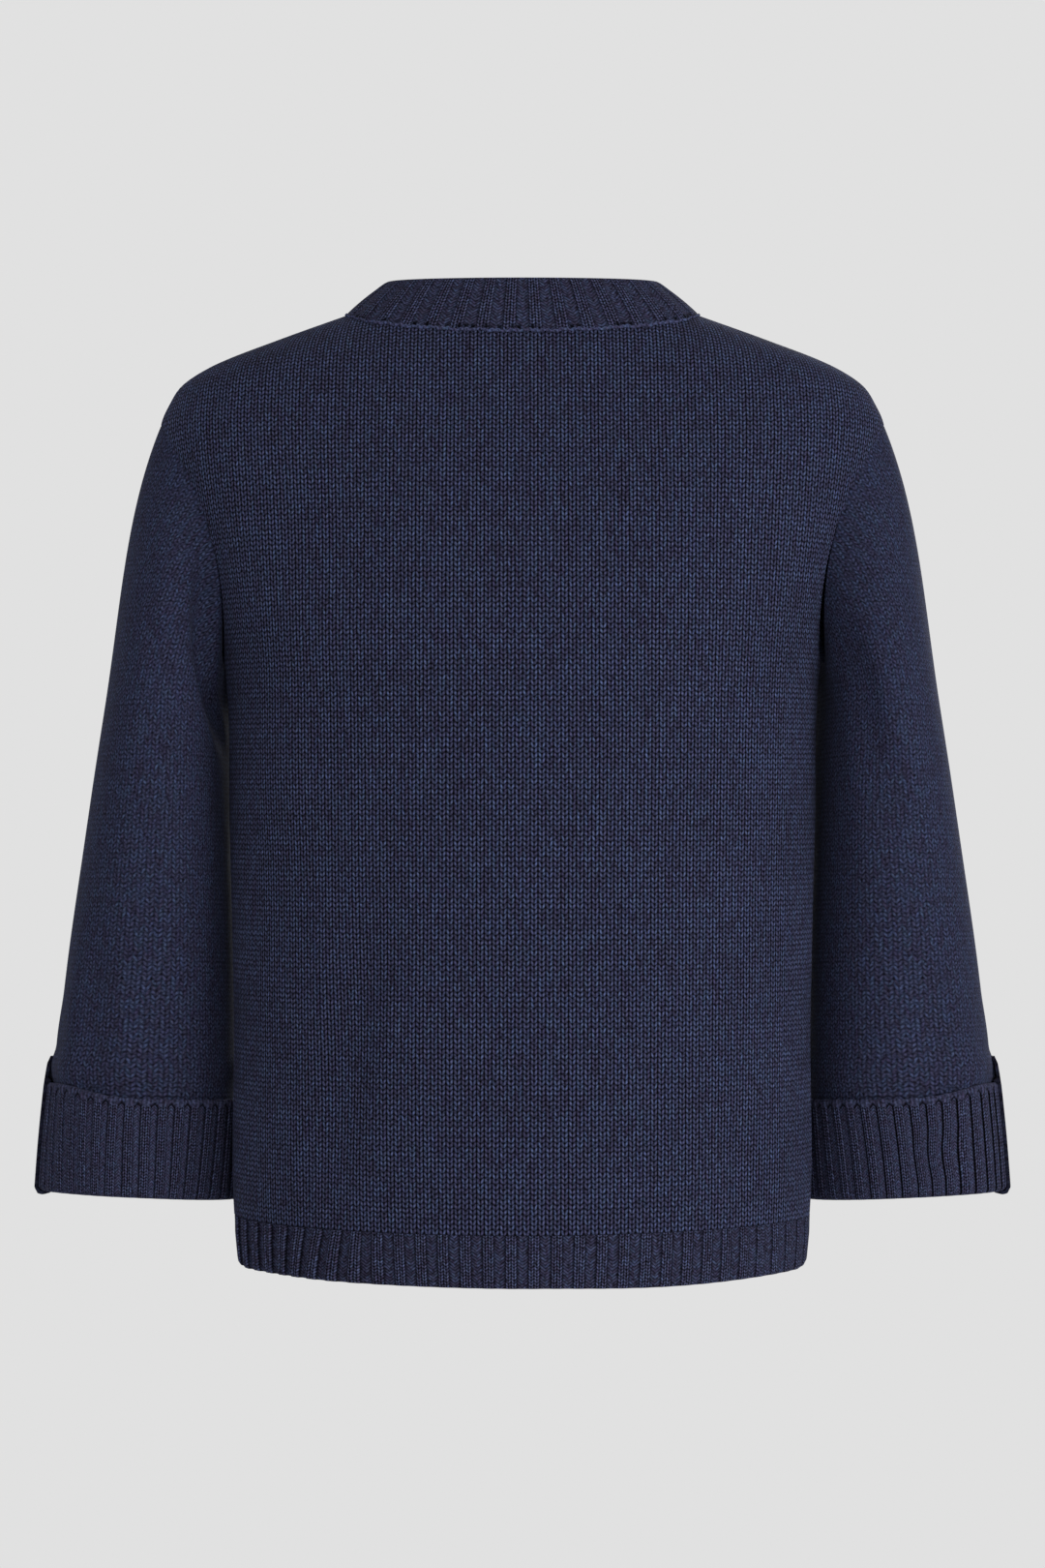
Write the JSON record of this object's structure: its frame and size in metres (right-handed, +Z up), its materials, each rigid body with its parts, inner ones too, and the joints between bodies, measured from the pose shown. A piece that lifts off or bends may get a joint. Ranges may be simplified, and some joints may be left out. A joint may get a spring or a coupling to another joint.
{
  "type": "knit jacket",
  "caption": "Short knitted jacket with a ribbed neckband, hem band and turned-up cuffs held by tabs, buttoned in front, filled out as worn.",
  "frame": {"origin": "middle of the neck opening, level with the two points where the neckband meets the shoulders", "axes": "+Z up, -Y out of the front, +X to the wearer's left"},
  "size_m": [0.5864, 0.2403, 0.5772],
  "materials": {
    "knit": "dark navy wool-blend stocking stitch with small lighter flecks, matt",
    "rib": "the same yarn in 2 by 2 rib, matt",
    "tab": "the same yarn knitted close and flat, matt",
    "button": "plain dark navy, slightly shiny"
  },
  "bodies": {
    "root": {"back": "knit", "front_left": "knit", "front_right": "knit", "sleeve_left": "knit", "sleeve_right": "knit", "hem_back": "rib", "hem_front_left": "rib", "hem_front_right": "rib", "neckband": "rib", "band_left": "rib", "band_right": "rib", "cuff_left": "rib", "cuff_right": "rib", "tab_left": "tab", "tab_right": "tab", "button_1": "button", "button_2": "button", "button_3": "button", "button_4": "button", "button_5": "button", "button_6": "button"}
  },
  "joints": []
}
